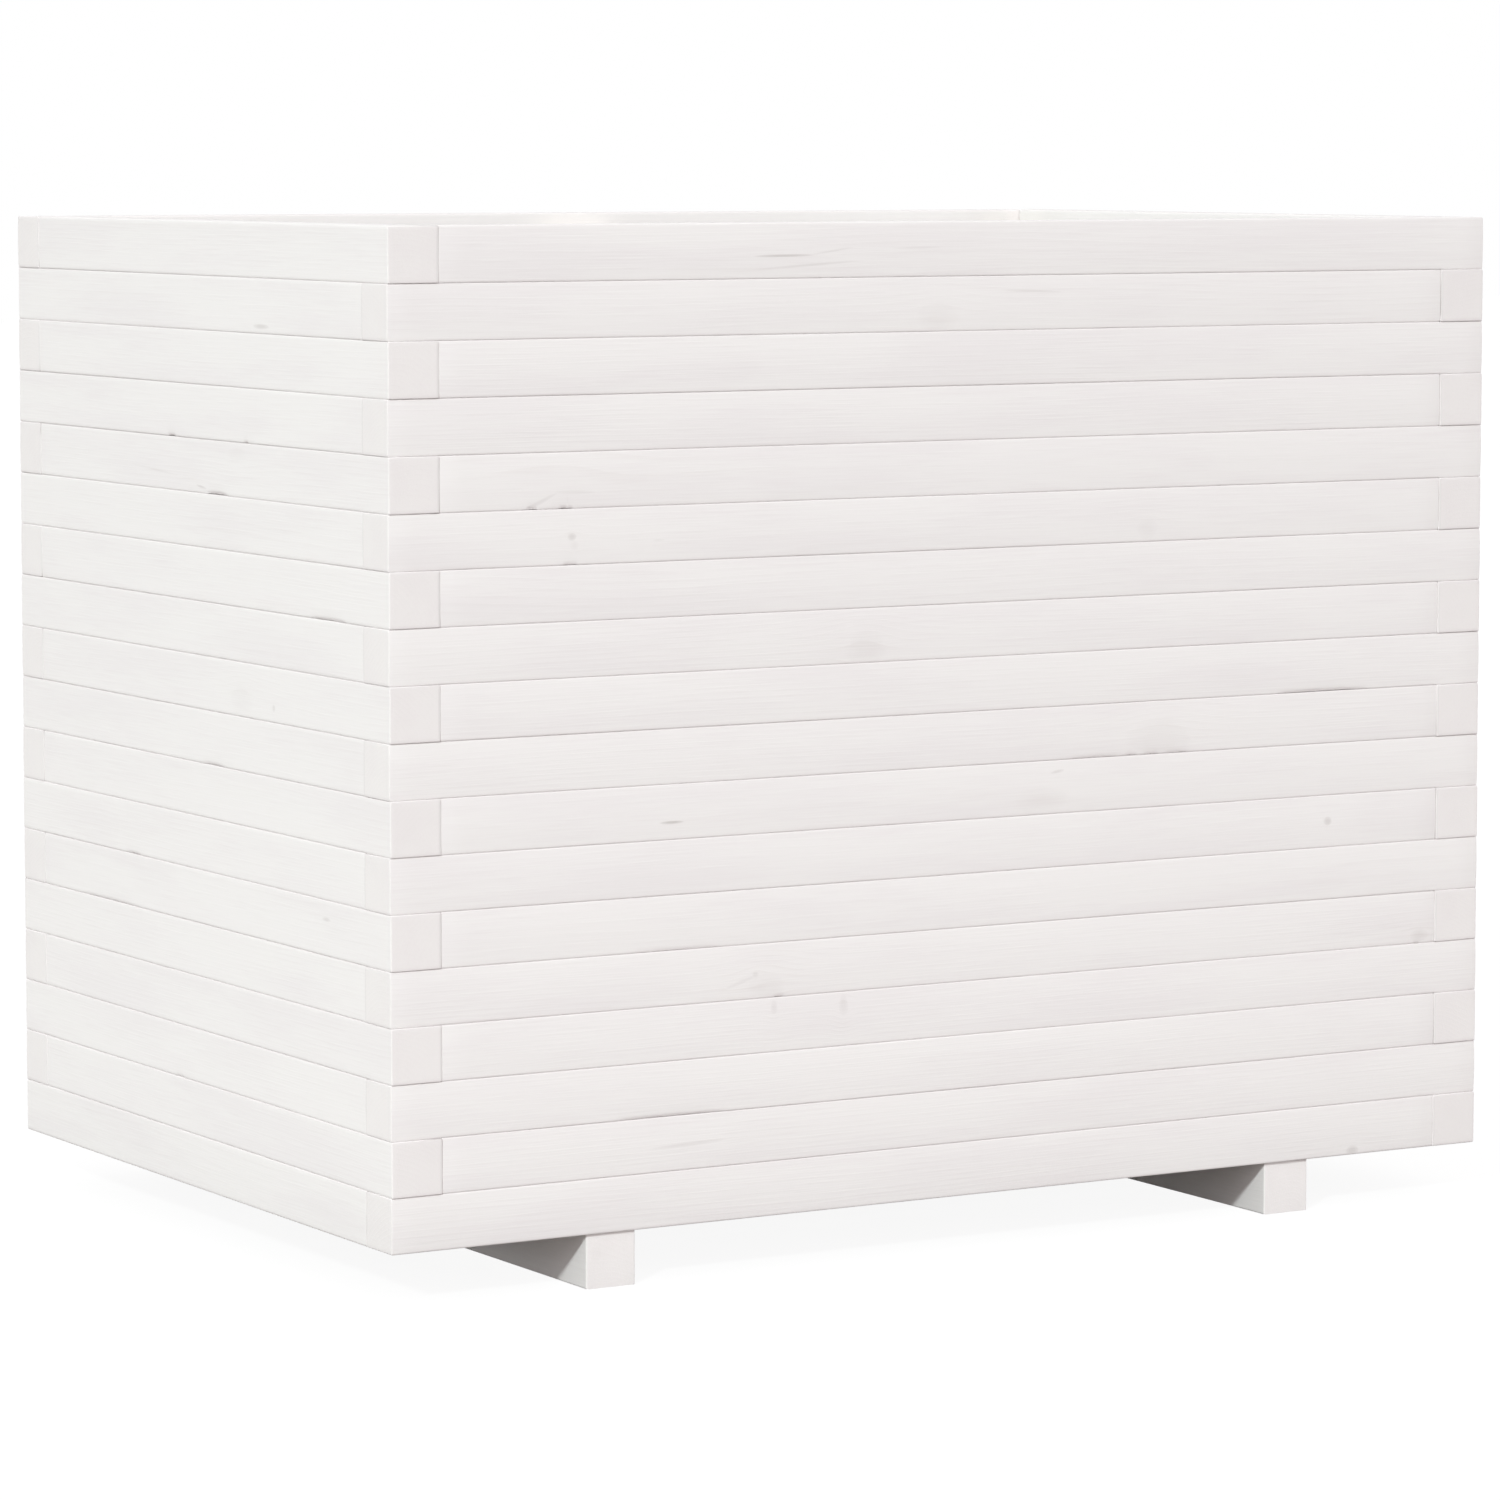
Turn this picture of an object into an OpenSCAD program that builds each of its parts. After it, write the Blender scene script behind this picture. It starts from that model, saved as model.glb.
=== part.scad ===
// Floor planter: an open box of square timbers stacked in courses on two bearer feet.
// The timbers butt at the corners and change sides from course to course, so the
// corners lap. Corner posts and two battens inside hold the courses together.
// Millimetres. The origin is on the ground under the middle of the box,
// +X runs to the right, +Y to the back and +Z up.

/* [Box] */
// Length of the box, left to right
box_len = 900; // [640:10:1400]
// Depth of the box, front to back
box_depth = 600; // [420:10:900]
// Number of timber courses in each wall
courses = 18; // [6:1:20]

/* [Wall timbers] */
// Height of one course
course_h = 38; // [34:1:50]
// Thickness of the wall timbers
wall_t = 38; // [30:1:50]
// Rounding along the long edges of the wall timbers
arris_r = 2; // [0.6:0.1:4]
// Rounding of the upright edges at the ends of the wall timbers
end_r = 1; // [0.4:0.1:3]

/* [Feet] */
// Width of a foot
foot_w = 38; // [30:1:60]
// Height of a foot
foot_h = 38; // [30:1:60]
// Setback of the ends of a foot from the front and back faces of the box
foot_setback = 3.5; // [0:0.5:12]
// Distance from an end face of the box to the middle of its foot
foot_inset = 168.5; // [110:0.5:240]
// Rounding along the long edges of a foot
foot_edge_r = 1.2; // [0.4:0.1:4]

/* [Posts and battens] */
// Side of the square corner posts
post_w = 38; // [30:1:50]
// Width of the battens in the middle of the long walls
batten_w = 58; // [30:1:90]
// Thickness of the battens
batten_t = 18; // [12:1:30]
// Drop from the rim to the tops of the posts and battens
post_drop = 13; // [8:1:16]
// Rounding along the upright edges of the posts and battens
post_edge_r = 1.5; // [0.4:0.1:4]

/* [Floor boards] */
// Number of floor boards
floor_boards = 5; // [3:1:8]
// Thickness of the floor boards
floor_t = 18; // [12:1:30]
// Drainage gap between two floor boards
floor_gap = 5; // [3:0.5:12]
// Clearance of the floor boards from the walls and posts
floor_clear = 1; // [0.5:0.1:4]
// Rounding along the edges of the floor boards
floor_edge_r = 1; // [0.4:0.1:3]

/* [Screws] */
// Diameter of the screw shanks
screw_d = 4.5; // [3.5:0.1:6]
// Diameter of the screw heads
screw_head_d = 8.8; // [8:0.1:9]
// Width across the flats of the screw heads' hexagon sockets
screw_socket_w = 3; // [2:0.1:3.4]
// Depth that a screw reaches into the timber it holds
screw_bite = 22; // [14:1:26]
// Height between the two screws that cross in a corner post
screw_step = 9; // [7:0.5:9]
// Depth that the foot screws' heads are sunk in the undersides of the feet
foot_screw_sink = 5; // [3:0.5:10]
// Clearance round a screw in its hole
screw_clear = 0.05; // [0.02:0.01:0.2]
// Clearance round a foot screw's head in the bore that lets it in
foot_bore_clear = 0.5; // [0.2:0.1:2]

/* [Hidden] */
$fn = 48;

box_z = foot_h;
rim_z = box_z + courses * course_h;
post_top = rim_z - post_drop;
inner_len = box_len - 2 * wall_t;
inner_depth = box_depth - 2 * wall_t;
post_x = (inner_len - post_w) / 2;
post_y = (inner_depth - post_w) / 2;
foot_x = box_len / 2 - foot_inset;
foot_len = box_depth - 2 * foot_setback;
long_wall_y = (box_depth - wall_t) / 2;
short_wall_x = (box_len - wall_t) / 2;

floor_top = box_z + floor_t;
floor_len = inner_len - 2 * floor_clear;
floor_depth = inner_depth - 2 * floor_clear;
board_w = (floor_depth - (floor_boards - 1) * floor_gap) / floor_boards;
batten_y = (inner_depth - batten_t) / 2;

screw_mid_h = (course_h - post_drop) / 2;
long_screw_h = screw_mid_h - screw_step / 2;
short_screw_h = screw_mid_h + screw_step / 2;
screw_taper_h = (screw_head_d - screw_d) / 2;
screw_rim_h = 0.4;
screw_point_h = 5;
screw_socket_h = 2;
wall_screw_len = post_w + screw_bite;
batten_screw_len = batten_t + screw_bite;
floor_screw_len = floor_t + screw_bite;
foot_screw_len = foot_h - foot_screw_sink + screw_bite;

// How far a cutting shape runs past the face it cuts
cut_over = 1;

paint = "#ECE8E5";
thin_wash = "#E0D8CA";
steel = "silver";

// The courses are numbered from the rim down
function course_name(c) = str("course_", c < 10 ? "0" : "", c);
function course_z(c) = box_z + (courses - c) * course_h;
// The long rails of odd courses stand half a timber to one side, those of even courses to the other
function lap_shift(c) = (c % 2 == 1 ? 1 : -1) * wall_t / 2;
function board_y(b) = (b - (floor_boards + 1) / 2) * (board_w + floor_gap);
// A batten screw needs its course clear of the floor boards
function batten_screw_z(c) = course_z(c) + screw_mid_h;
function held_by_batten(c) = batten_screw_z(c) > floor_top + screw_head_d / 2;

// Outline of a rectangle with round corners, about the origin
module round_rect(w, h, r) {
    square([w - 2 * r, h], center = true);
    square([w, h - 2 * r], center = true);
    for (x = [-1, 1], y = [-1, 1])
        translate([x * (w / 2 - r), y * (h / 2 - r)]) circle(r);
}

// A timber along X, its underside at z = 0, rounded along its length and at its ends' upright edges
module timber(len, w, h, edge_r, tip_r) {
    intersection() {
        translate([-len / 2, 0, h / 2]) rotate([90, 0, 90])
            linear_extrude(len) round_rect(w, h, edge_r);
        linear_extrude(h) round_rect(len, w, tip_r);
    }
}

// Section of a screw from its axis outwards, its head's top at -lead and its point up, grown by a clearance
module screw_section(len, lead, grow) {
    polygon([[0, -lead], [screw_head_d / 2 + grow, -lead], [screw_head_d / 2 + grow, screw_rim_h],
             [screw_d / 2 + grow, screw_rim_h + screw_taper_h],
             [screw_d / 2 + grow, len - screw_point_h + grow], [0, len + grow]]);
}

// A countersunk screw with a hexagon socket
module screw(len) {
    color(steel) difference() {
        rotate_extrude() screw_section(len, 0, 0);
        translate([0, 0, -cut_over])
            cylinder(d = screw_socket_w / cos(30), h = screw_socket_h + cut_over, $fn = 6);
    }
}

// The hole that a screw needs, run out past the face that its head is flush with
module screw_hole(len) {
    rotate_extrude() screw_section(len, cut_over, screw_clear);
}

// Stands its child at each screw through the post at x side sx and y side sy into the long wall
module at_long_wall_screws(sx, sy, which = [1 : courses]) {
    for (c = which)
        translate([sx * post_x, sy * (post_y - post_w / 2), course_z(c) + long_screw_h])
            rotate([-90 * sy, 0, 0]) children();
}

// The same for the screws through that post into the short wall
module at_short_wall_screws(sx, sy, which = [1 : courses]) {
    for (c = which)
        translate([sx * (post_x - post_w / 2), sy * post_y, course_z(c) + short_screw_h])
            rotate([0, 90 * sx, 0]) children();
}

// Stands its child at each screw through the batten at y side sy
module at_batten_screws(sy, which = [1 : courses]) {
    for (c = which)
        if (held_by_batten(c))
            translate([0, sy * (batten_y - batten_t / 2), batten_screw_z(c)])
                rotate([-90 * sy, 0, 0]) children();
}

// Stands its child at the two screws that hold floor board b to the foot at x side sx
module at_floor_screws(sx, b) {
    for (s = [-1, 1])
        translate([sx * foot_x, board_y(b) + s * board_w / 4, floor_top])
            rotate([180, 0, 0]) children();
}

// Stands its child at the screws up through a foot into the long walls
module at_foot_screws(sx, sy) {
    translate([sx * foot_x, sy * long_wall_y, foot_screw_sink]) children();
}

// The front and back rails of one course
module long_rails(c) {
    color(paint) for (sy = [-1, 1]) difference() {
        translate([-sy * lap_shift(c), sy * long_wall_y, course_z(c)])
            timber(box_len - wall_t, wall_t, course_h, arris_r, end_r);
        for (sx = [-1, 1]) at_long_wall_screws(sx, sy, [c]) screw_hole(wall_screw_len);
        at_batten_screws(sy, [c]) screw_hole(batten_screw_len);
        if (c == courses)
            for (sx = [-1, 1]) at_foot_screws(sx, sy) screw_hole(foot_screw_len);
    }
}

// The left and right rails of one course
module short_rails(c) {
    color(paint) for (sx = [-1, 1]) difference() {
        translate([sx * short_wall_x, sx * lap_shift(c), course_z(c)]) rotate([0, 0, 90])
            timber(box_depth - wall_t, wall_t, course_h, arris_r, end_r);
        for (sy = [-1, 1]) at_short_wall_screws(sx, sy, [c]) screw_hole(wall_screw_len);
    }
}

// The upright shape of a corner post, from a height to just below the rim, grown by a clearance
module post_shape(sx, sy, from_z, grow) {
    translate([sx * post_x, sy * post_y, from_z]) linear_extrude(post_top - from_z)
        round_rect(post_w + 2 * grow, post_w + 2 * grow, post_edge_r);
}

// A corner post, from the underside of the box up
module corner_post(sx, sy) {
    color(thin_wash) difference() {
        post_shape(sx, sy, box_z, 0);
        at_long_wall_screws(sx, sy) screw_hole(wall_screw_len);
        at_short_wall_screws(sx, sy) screw_hole(wall_screw_len);
    }
}

// An upright batten in the middle of a long wall, standing on the floor
module batten(sy) {
    color(thin_wash) difference() {
        translate([0, sy * batten_y, floor_top])
            linear_extrude(post_top - floor_top) round_rect(batten_w, batten_t, post_edge_r);
        at_batten_screws(sy) screw_hole(batten_screw_len);
    }
}

// A floor board, notched round the posts where it meets them
module floor_board(b) {
    color(thin_wash) difference() {
        translate([0, board_y(b), box_z])
            timber(floor_len, board_w, floor_t, floor_edge_r, floor_edge_r);
        for (sx = [-1, 1]) {
            for (sy = [-1, 1]) post_shape(sx, sy, box_z - cut_over, floor_clear);
            at_floor_screws(sx, b) screw_hole(floor_screw_len);
        }
    }
}

// A bearer foot, front to back under the box
module foot(sx) {
    color(paint) difference() {
        translate([sx * foot_x, 0, 0]) rotate([0, 0, 90])
            timber(foot_len, foot_w, foot_h, foot_edge_r, end_r);
        for (b = [1 : floor_boards]) at_floor_screws(sx, b) screw_hole(floor_screw_len);
        for (sy = [-1, 1]) {
            at_foot_screws(sx, sy) screw_hole(foot_screw_len);
            translate([sx * foot_x, sy * long_wall_y, -cut_over])
                cylinder(d = screw_head_d + 2 * foot_bore_clear, h = foot_screw_sink + cut_over);
        }
    }
}

module long_wall_screws(sy) {
    for (sx = [-1, 1]) at_long_wall_screws(sx, sy) screw(wall_screw_len);
}

module short_wall_screws(sx) {
    for (sy = [-1, 1]) at_short_wall_screws(sx, sy) screw(wall_screw_len);
}

module batten_screws() {
    for (sy = [-1, 1]) at_batten_screws(sy) screw(batten_screw_len);
}

module floor_screws() {
    for (sx = [-1, 1], b = [1 : floor_boards]) at_floor_screws(sx, b) screw(floor_screw_len);
}

module foot_screws() {
    for (sx = [-1, 1], sy = [-1, 1]) at_foot_screws(sx, sy) screw(foot_screw_len);
}

for (c = [1 : courses]) {
    long_rails(c);
    short_rails(c);
}
for (b = [1 : floor_boards])
    floor_board(b);
foot(-1);  // left_foot
foot(1);  // right_foot
corner_post(-1, -1);  // front_left_post
corner_post(1, -1);  // front_right_post
corner_post(-1, 1);  // back_left_post
corner_post(1, 1);  // back_right_post
batten(-1);  // front_batten
batten(1);  // back_batten
long_wall_screws(-1);  // front_wall_screws
long_wall_screws(1);  // back_wall_screws
short_wall_screws(-1);  // left_wall_screws
short_wall_screws(1);  // right_wall_screws
batten_screws();
floor_screws();
foot_screws();
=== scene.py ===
"""Looks of the wooden floor planter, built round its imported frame.

Metres. +X runs along the long walls, +Y to the back and +Z up, as in the frame.
"""
import math
import random

import bpy
import numpy as np
from mathutils import Matrix, Vector


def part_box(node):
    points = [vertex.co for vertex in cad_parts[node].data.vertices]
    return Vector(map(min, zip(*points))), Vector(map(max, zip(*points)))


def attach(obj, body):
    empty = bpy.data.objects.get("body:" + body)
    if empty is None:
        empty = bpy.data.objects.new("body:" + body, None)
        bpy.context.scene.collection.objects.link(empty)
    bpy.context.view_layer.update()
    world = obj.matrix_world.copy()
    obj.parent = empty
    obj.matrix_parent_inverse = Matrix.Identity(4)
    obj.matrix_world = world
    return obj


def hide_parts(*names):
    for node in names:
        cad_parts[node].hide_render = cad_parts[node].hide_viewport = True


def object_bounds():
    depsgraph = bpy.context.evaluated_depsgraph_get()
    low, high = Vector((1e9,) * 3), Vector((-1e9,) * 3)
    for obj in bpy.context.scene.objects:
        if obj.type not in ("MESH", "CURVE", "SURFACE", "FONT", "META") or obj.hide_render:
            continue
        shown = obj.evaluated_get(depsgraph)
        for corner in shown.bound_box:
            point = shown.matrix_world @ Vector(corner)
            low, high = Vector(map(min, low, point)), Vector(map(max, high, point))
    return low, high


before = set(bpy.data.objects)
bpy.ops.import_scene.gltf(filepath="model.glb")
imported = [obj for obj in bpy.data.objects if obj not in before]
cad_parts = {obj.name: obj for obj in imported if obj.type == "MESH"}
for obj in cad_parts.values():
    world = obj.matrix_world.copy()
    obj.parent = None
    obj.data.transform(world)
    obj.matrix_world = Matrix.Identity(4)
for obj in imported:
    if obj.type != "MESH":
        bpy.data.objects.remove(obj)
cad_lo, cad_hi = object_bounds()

BODY = "root"
MM = 0.001
SEED = 41

# Sizes of the frame that the looks follow
COURSES = sum(name.endswith("_long_rails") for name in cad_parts)
BOX_LEN = cad_hi[0] - cad_lo[0]
BOX_DEPTH = cad_hi[1] - cad_lo[1]
COURSE_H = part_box("course_01_long_rails")[1][2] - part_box("course_01_long_rails")[0][2]
WALL_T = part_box("front_left_post")[0][0] - cad_lo[0]

# Shape of the wall timbers
ARRIS_HIGH = 2.0 * MM
ARRIS_DEEP = 0.55 * MM
ARRIS_STEPS = 4
END_R = 0.75 * MM
LONG_CROWN = 0.65 * MM
SHORT_CROWN = 0.05 * MM
SEAM_GAP = 0.1 * MM
SET_IN_MM = (0.12, 0.35)
STATION_STEP = 16 * MM
PLAIN_FROM_END = 2.5 * END_R
CHIP_HALF_STEPS = 5
FACE_PLACES = (-0.93, -0.55, 0.0, 0.55, 0.93)
CAP_INSET = 3 * MM
CHIP_REACH = 2.5 * MM
CHIP_LIFT = 0.8
CHIP_UNEVEN = (0.75, 1.2)

# Bow of a rail, and the number of its waves, their radians to the metre and their weights
BOW = 0.22 * MM
BOW_WAVES = 3
BOW_RATE = (1.5, 6.0)
BOW_WEIGHT = (0.4, 1.0)
# Its rise as a share of that bow, and the share of the rise that is lost towards the seams
RISE_SHARE = 0.3
SEAM_RISE_LOST = 0.9

# The stick's y below which a point counts as its inner face, and where the greyer inner paint, a painted
# shade, fades in
INNER_Y = -0.45 * WALL_T
INNER_FADE = (-0.44 * WALL_T, -0.48 * WALL_T)

# Dirt, worn paint and painted shade at the edges, as shares of what a plain seam has
JOINT_DIRT_AND_SHADE = 1.35
CORNER_DIRT_AND_SHADE = 0.15
RIM_DIRT_AND_SHADE = 0.7
CHIP_DIRT_AND_SHADE = 0.75
UNEVEN_DIRT_AND_SHADE = (0.7, 1.15)
DIRT_AND_SHADE_PATCHES = (1.2, 0.4)
# The power of an upper arris's edge values, where less than 1 spreads the dirt and painted shade wider
UPPER_SPREAD = 0.5

# Noises of the grain, as waves to the metre along it and across it
SWAY_WAVES = (2.4, 16, 16)
PATCH_WAVES = (5.5, 34, 34)
FIBRE_WAVES = (26, 800, 800)
BREAK_WAVES = (14, 140, 140)

# Growth rings, and how far their middle lies beside a stick's middle and below it
RING_STEP = 3.4 * MM
RING_SWAY = 16 * MM
LATE_START = 0.45
LATE_PEAK = 0.93
RAIL_PITH_ASIDE_MM = (8, 45)
RAIL_PITH_BELOW_MM = (6, 50)
STICK_PITH_ASIDE_MM = (-20, 20)
STICK_PITH_BELOW_MM = (25, 45)
# Metres that the grain of a stick is moved along, so that no two are alike
GRAIN_SHIFT = (2, 30)

# Knots in the material
KNOT_NAMES = ("knot_a", "knot_b", "knot_c", "knot_d")
KNOT_FALLOFF = 0.35
KNOT_BEND = 0.8
KNOT_CORE = (1.35, 0.35)
KNOT_BARK = 0.2
BARK_WIDTH = 0.3
KNOT_GRAIN = 0.35
KNOT_TINT = 0.06
KNOT_CELLS = (6, 16, 16)
KNOT_IN_CELL = 0.1
SCATTERED_GRAIN = 0.8
# Weights of two noises in a knot's ragged outline, and what it has without them
RAGGED_PATCH = 0.8
RAGGED_BREAK = 0.8
RAGGED_LEAST = 0.2

# Made-up marks: the numbers of them that a rail may have, and the ranges that they are drawn from
MADE_UP_ALONG = (-0.45, 0.45)
MADE_UP_HIGH_MM = (-14, 14)
KNOTS_ON_RAIL = (0, 0, 1, 1, 2)
KNOT_RADIUS_MM = (2, 12)
KNOT_STRETCH = (0.8, 1.8)
KNOT_DARK = (0.4, 0.9)
KNOT_GRAIN_ROUND = (0.2, 0.4)
LINES_ON_RAIL = (0, 0, 1)
LINE_RADIUS_MM = (0.8, 1.1)
LINE_STRETCH = (8, 26)
LINE_DARK = (0.05, 0.2)
LINE_GRAIN_ROUND = 0.3
LINE_SLOPE = (-0.08, 0.12)
CHIPS_ON_RAIL = (0, 0, 1, 2)
CHIP_LENGTH_MM = (8, 60)
CHIP_DEPTH_MM = (0.4, 0.9)

# Paint: weights of patches and fibres in how thin it lies, and of its thinness in the streaks
THIN_PATCH = 0.7
THIN_FIBRE = 0.3
STREAK_THIN = (0.6, 0.4)
# The noise values at which something starts to show, and at which it shows fully
THIN_SHOWS = (0.4, 0.66)
STREAK_SHOWS = (0.35, 0.7)
BREAK_SHOWS = (0.4, 0.65)
FIBRE_SHOWS = (0.45, 0.8)

# Shares of the darker colours, and the edge values where the two colours of dirt and painted shade are
# full
INSIDE_SHADE = 0.45
INNER_CORNER_SHADE = 0.5
END_GRAIN_SHARE = 0.5
DIRT_AND_SHADE_FULL = 1.15
DEEP_FULL = 2.0
# How far the greyer paint of the inner corners, a painted shade, reaches along a wall
CORNER_REACH = 90 * MM

# Surface of the wood, with the heights of its relief in mm
LATE_RELIEF = 0.02
FIBRE_RELIEF = 0.08
PATCH_RELIEF = 0.25
KNOT_RELIEF = -0.15
ROUGH = 0.5
ROUGH_SPREAD = 0.2
SPECULAR = 0.25

# Surface of the screws, with waves to the metre
TURNING_WAVES = (1500, 1500, 1500)
CLOUD_WAVES = (160, 160, 160)
CLOUD_SHOWS = (0.35, 0.7)
STEEL_ROUGH = 0.26
TURNING_STRENGTH = 0.4
TURNING_DEPTH = 0.05 * MM

# Camera, fitted to where the photograph has the front, the left wall, the far rim and the feet
PHOTO_SIDE = 1500
CAMERA_AT = (-2.2536, -3.8240, 0.7782)
CAMERA_YAW = 30.553
CAMERA_PITCH = 5.088
CAMERA_FOCAL_PX = 6009.9
CAMERA_SHIFT_Y = -0.05
CAMERA_FAR = 100
SENSOR = 36

# Light: the key lamp, and what the surround and the floor give
KEY_TOWARD = Vector((-1.28, -1.1, 0.95)).normalized()
KEY_DISTANCE = 16
KEY_SIZE = 1.3
KEY_POWER = 1450
KEY_COLOR = (0.93, 1.0, 0.995)
SURROUND_FRONT = (1.065, 0.988, 1.018, 1)
SURROUND_BACK = (0.98, 0.965, 0.97, 1)
SURROUND_LOW = 1.75
SURROUND_HIGH = 0.37
HORIZON_DIP = 0.5
HORIZON_TOP = 0.2
FLOOR_COLOR = (0.103, 0.084, 0.072, 1)
FLOOR_SIZE = 40
FLOOR_DROP = 0.2 * MM
FLOOR_GLOW = 0.92
FLOOR_SHADED = (0.12, 0.12, 0.12, 1)
CARD_COLOR = (0.3, 0.272, 0.255, 1)
WHITE = (1, 1, 1, 1)
# Metres from the front and left walls at which the card strip fades in, and fades out
CARD_START = (0.02, 0.1)
CARD_END = (1.2, 0.8)

# Knots and hairlines of the grain: course, distance from the left or front end, height in the
# course and radius, all in mm, then how many times longer than high, how dark, how much of the
# grain shows round it, and its slope
FRONT_KNOTS = (
    (1, 305, 15.5, 0.9, 22, 0.30, 0.2, 0.01),
    (1, 325, 9, 1.0, 38, 0.13, 0.4, 0.06),
    (1, 343, 18.5, 0.8, 18, 0.10, 0.3, 0.14),
    (1, 412, 20, 0.9, 20, 0.07, 0.2, 0.02),
    (2, 428, 9, 10, 1.4, 0.035, 0.2, 0.0),
    (2, 506, 27, 0.9, 24, 0.13, 0.3, -0.04),
    (5, 115, 5.5, 1.5, 6.5, 0.12, 0.3, 0.42),
    (5, 128, 0, 11, 1.6, 0.0, 0.5, 0.0),
    (5, 141, 11, 1.1, 12, 0.08, 0.3, -0.03),
    (6, 138, 19, 2.2, 1.3, 0.2, 0.3, 0.0),
    (6, 140, 13, 2.6, 1.0, 0.05, 0.3, 0.0),
    (6, 205, 14.5, 0.9, 5, 0.06, 0.2, 0.0),
    (6, 604, 9, 6.5, 1.2, 0.045, 0.2, 0.0),
    (8, 370, 8, 12, 1.2, 0.05, 0.3, 0.0),
    (10, 616, 9, 13, 1.6, 0.055, 0.3, 0.0),
    (11, 215, 12, 1.0, 8, 0.35, 0.3, 0.0),
    (11, 515, 9, 8, 2.4, 0.035, 0.2, 0.0),
    (11, 529, 30, 0.9, 5, 0.15, 0.2, 0.15),
    (12, 764, 19, 2.5, 1.0, 0.22, 0.2, 0.0),
    (14, 270, 12.5, 1.2, 9, 0.08, 0.4, 0.3),
    (14, 281, 17, 1.8, 1.2, 0.12, 0.3, 0.0),
    (14, 290, 6, 10, 1.3, 0.045, 0.5, 0.0),
    (14, 848, 6, 4.5, 1.6, 0.1, 0.8, 0.0),
    (15, 296, 31, 4.5, 0.6, 0.1, 0.3, 0.0),
    (15, 352, 29, 7, 0.5, 0.09, 0.3, 0.0),
    (17, 226, 17.5, 1.2, 20, 0.11, 0.4, 0.03),
    (18, 789, 3, 3, 1.4, 0.2, 0.3, 0.0),
)
LEFT_KNOTS = (
    (2, 190, 5, 1.3, 7, 0.22, 0.2, 0.0),
    (5, 230, 30, 5, 2.5, 0.03, 0.2, 0.0),
    (5, 288, 4.5, 0.9, 8, 0.18, 0.3, 0.12),
    (5, 362, 13, 0.9, 45, 0.05, 0.3, 0.06),
    (9, 174, 10, 2.2, 0.9, 0.14, 0.2, 0.0),
    (9, 225, 12, 9, 1.5, 0.03, 0.2, 0.0),
    (13, 95, 25, 1.1, 4, 0.16, 0.2, 0.0),
)
# Splinters gone from lower edges: course, distance from the end, length and depth, in mm
FRONT_CHIPS = (
    (5, 108, 9, 0.8), (5, 134, 12, 0.8), (6, 137, 12, 0.6), (9, 760, 84, 0.85), (10, 560, 44, 0.5),
    (10, 592, 12, 0.55), (10, 609, 15, 0.55), (10, 632, 22, 0.5), (13, 220, 70, 0.4), (14, 300, 10, 0.6),
    (14, 846, 7, 0.5), (16, 215, 86, 0.7),
)
LEFT_CHIPS = (
    (4, 215, 8, 0.6), (4, 335, 14, 0.7), (5, 262, 34, 1.0), (7, 90, 54, 0.8), (10, 270, 36, 0.6),
    (12, 405, 24, 0.6), (13, 445, 90, 0.4), (13, 572, 26, 0.8), (16, 330, 14, 0.5),
)


def linear(r, g, b):
    """A colour given in 8-bit sRGB, as the linear values that shaders take."""
    def one(v):
        v = v / 255
        return v / 12.92 if v <= 0.04045 else ((v + 0.055) / 1.055) ** 2.4
    return (one(r), one(g), one(b), 1.0)


class Tree:
    """Short calls that add nodes to the tree of a material or a world."""

    def __init__(self, owner):
        self.owner = owner
        owner.use_nodes = True
        self.tree = owner.node_tree
        self.tree.nodes.clear()

    def put(self, socket, value):
        if isinstance(value, bpy.types.NodeSocket):
            self.tree.links.new(value, socket)
        elif value is not None:
            socket.default_value = value

    def add(self, kind, inputs=None, **settings):
        node = self.tree.nodes.new(kind)
        for key, value in settings.items():
            setattr(node, key, value)
        for key, value in (inputs or {}).items():
            self.put(node.inputs[key], value)
        return node

    def math(self, operation, a, b=None, c=None):
        node = self.add("ShaderNodeMath", operation=operation)
        for i, value in enumerate((a, b, c)):
            self.put(node.inputs[i], value)
        return node.outputs[0]

    def vector(self, operation, a, b=None):
        node = self.add("ShaderNodeVectorMath", {0: a, 1: b}, operation=operation)
        return node.outputs["Value" if operation == "LENGTH" else "Vector"]

    def split(self, v):
        return self.add("ShaderNodeSeparateXYZ", {0: v}).outputs

    def join(self, x, y, z):
        return self.add("ShaderNodeCombineXYZ", {0: x, 1: y, 2: z}).outputs[0]

    def noise(self, v, waves, detail, output="Fac"):
        """Noise with its own number of waves to the metre along each axis."""
        place = self.vector("MULTIPLY", v, waves)
        node = self.add("ShaderNodeTexNoise", {"Vector": place, "Scale": 1.0, "Detail": detail})
        return node.outputs[output]

    def ramp(self, value, low, high):
        """0 at low and 1 at high, smooth between."""
        node = self.add("ShaderNodeMapRange", {"Value": value, "From Min": low, "From Max": high},
                        interpolation_type="SMOOTHSTEP")
        return node.outputs[0]

    def mix(self, factor, a, b):
        # Sockets 0, 6 and 7 are this node's factor and its two colours
        node = self.add("ShaderNodeMix", data_type="RGBA")
        for i, value in ((0, factor), (6, a), (7, b)):
            self.put(node.inputs[i], value)
        return node.outputs[2]

    def attribute(self, name, output="Vector"):
        return self.add("ShaderNodeAttribute", attribute_name=name).outputs[output]

    def object_place(self):
        return self.add("ShaderNodeTexCoord").outputs["Object"]

    def seen_directly(self):
        """1 for rays from the camera, and for those that a gloss or a glass sends on."""
        path = self.add("ShaderNodeLightPath").outputs
        sent = self.math("MAXIMUM", path["Is Glossy Ray"], path["Is Transmission Ray"])
        return self.math("MAXIMUM", path["Is Camera Ray"], sent)

    def finish(self, shader):
        kind = "World" if isinstance(self.owner, bpy.types.World) else "Material"
        self.add("ShaderNodeOutput" + kind, {"Surface": shader})
        return self.owner


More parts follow.
